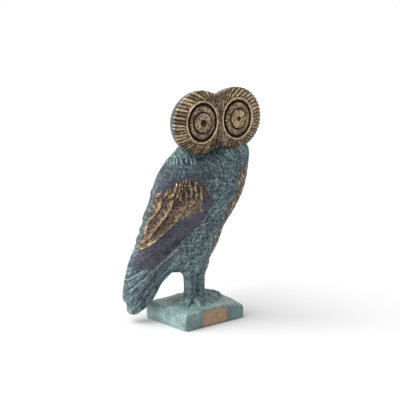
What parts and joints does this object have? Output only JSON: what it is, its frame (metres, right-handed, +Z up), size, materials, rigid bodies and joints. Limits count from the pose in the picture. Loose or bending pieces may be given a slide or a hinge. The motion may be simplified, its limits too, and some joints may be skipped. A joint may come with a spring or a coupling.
{
  "type": "cast bronze owl statue on a block",
  "caption": "Small standing owl in patinated cast bronze, body in profile and wide ringed face turned over the front of its low block.",
  "frame": {"origin": "middle of the block's flat underside", "axes": "+Z up, the owl's face and the block's bare patch towards -Y, its right wing and its tail on the -X side, its breast towards +X"},
  "size_m": [0.0966, 0.0489, 0.1568],
  "materials": {
    "patinated_bronze": "teal and blackish patina in the hollows of a bronze casting, rubbed back to bare tan bronze on the face, the wing, the breast edge and a patch of the block"
  },
  "bodies": {
    "root": {"owl_on_block": "patinated_bronze"}
  },
  "joints": []
}
